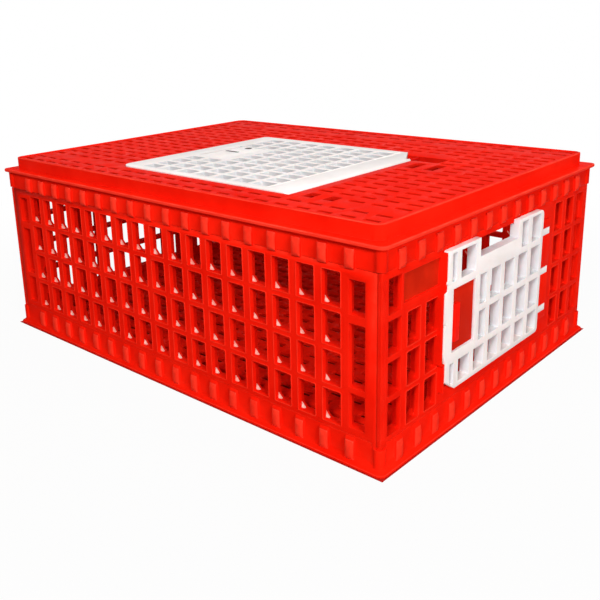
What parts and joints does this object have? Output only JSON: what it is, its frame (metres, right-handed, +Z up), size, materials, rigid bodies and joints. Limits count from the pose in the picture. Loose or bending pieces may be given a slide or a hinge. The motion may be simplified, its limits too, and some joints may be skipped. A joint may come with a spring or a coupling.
{
  "type": "poultry transport crate",
  "caption": "Stackable plastic crate for live poultry: lattice walls between a base and a slotted roof, with a hinged roof door and a hinged end door.",
  "frame": {"origin": "centre of the footprint, on the surface the crate stands on", "axes": "+X along the long walls towards the end door, +Y along the end walls towards that door's hinge, +Z up"},
  "size_m": [0.78, 0.58, 0.297],
  "materials": {
    "red_shell": "satin moulded polyethylene",
    "red_rod": "extruded polyethylene rod",
    "red_latch": "satin moulded polyethylene",
    "white_door": "satin moulded polyethylene"
  },
  "bodies": {
    "crate": {"base_skirt": "red_shell", "floor_grille": "red_shell", "roof_frame": "red_shell", "roof_deck": "red_shell", "front_wall": "red_shell", "rear_wall": "red_shell", "door_end_wall": "red_shell", "plain_end_wall": "red_shell", "front_left_corner_rod": "red_rod", "front_right_corner_rod": "red_rod", "rear_left_corner_rod": "red_rod", "rear_right_corner_rod": "red_rod", "side_door_hinge_rod": "red_rod"},
    "top_door": {"top_door": "white_door", "top_door_front_pin": "red_rod", "top_door_rear_pin": "red_rod"},
    "top_catch": {"top_door_catch": "white_door"},
    "side_door": {"side_door": "white_door"},
    "side_latch": {"side_door_latch": "red_latch"}
  },
  "joints": [
    {"name": "top_door_hinge", "type": "hinge", "parent": "crate", "child": "top_door", "pos_m": [0.18, -0.046, 0.2924], "axis": [0, 1, 0], "range_deg": [0, 110]},
    {"name": "top_catch_slide", "type": "slide", "parent": "top_door", "child": "top_catch", "axis": [-1, 0, 0], "range_m": [0, 0.006]},
    {"name": "side_door_hinge", "type": "hinge", "parent": "crate", "child": "side_door", "pos_m": [0.385, 0.131, 0.148], "axis": [0, 0, 1], "range_deg": [0, 110]},
    {"name": "side_latch_slide", "type": "slide", "parent": "side_door", "child": "side_latch", "axis": [0, -1, 0], "range_m": [0, 0.005]}
  ]
}
